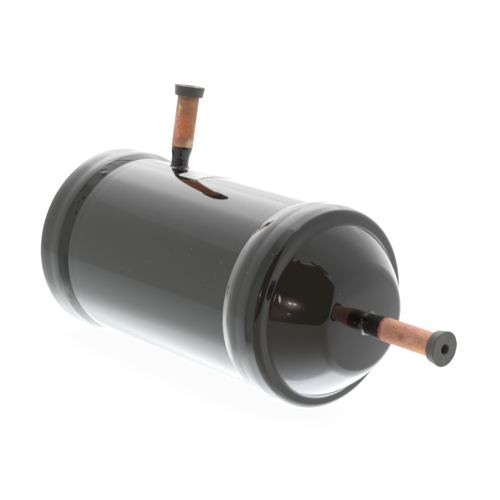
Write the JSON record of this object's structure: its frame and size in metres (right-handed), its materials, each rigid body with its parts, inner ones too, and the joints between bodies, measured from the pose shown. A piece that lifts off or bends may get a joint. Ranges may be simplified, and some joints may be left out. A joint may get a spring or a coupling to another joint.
{
  "type": "liquid receiver",
  "caption": "Horizontal welded steel liquid receiver, gloss black, with domed ends, a copper outlet stub on top and a copper inlet stub on one end, both closed by rubber plugs.",
  "frame": {"origin": "on the shell axis, halfway between the two heads", "axes": "+X along the shell axis towards the head that carries the inlet stub, +Z along the outlet stub"},
  "size_m": [0.2838, 0.1072, 0.1501],
  "materials": {
    "gloss_paint": "high gloss black enamel over welded steel",
    "painted_braze": "brazed fillet under the same black enamel",
    "copper": "bare drawn copper, heat tinted and lightly oxidised",
    "plug_rubber": "matt moulded dark grey rubber",
    "label_film": "blank white self-adhesive film"
  },
  "bodies": {
    "root": {"shell": "gloss_paint", "front_head": "gloss_paint", "rear_head": "gloss_paint", "front_weld": "gloss_paint", "rear_weld": "gloss_paint", "outlet_stub": "copper", "inlet_stub": "copper", "dip_tube": "copper", "outlet_braze": "painted_braze", "inlet_braze": "painted_braze", "outlet_plug": "plug_rubber", "inlet_plug": "plug_rubber", "label": "label_film"}
  },
  "joints": []
}
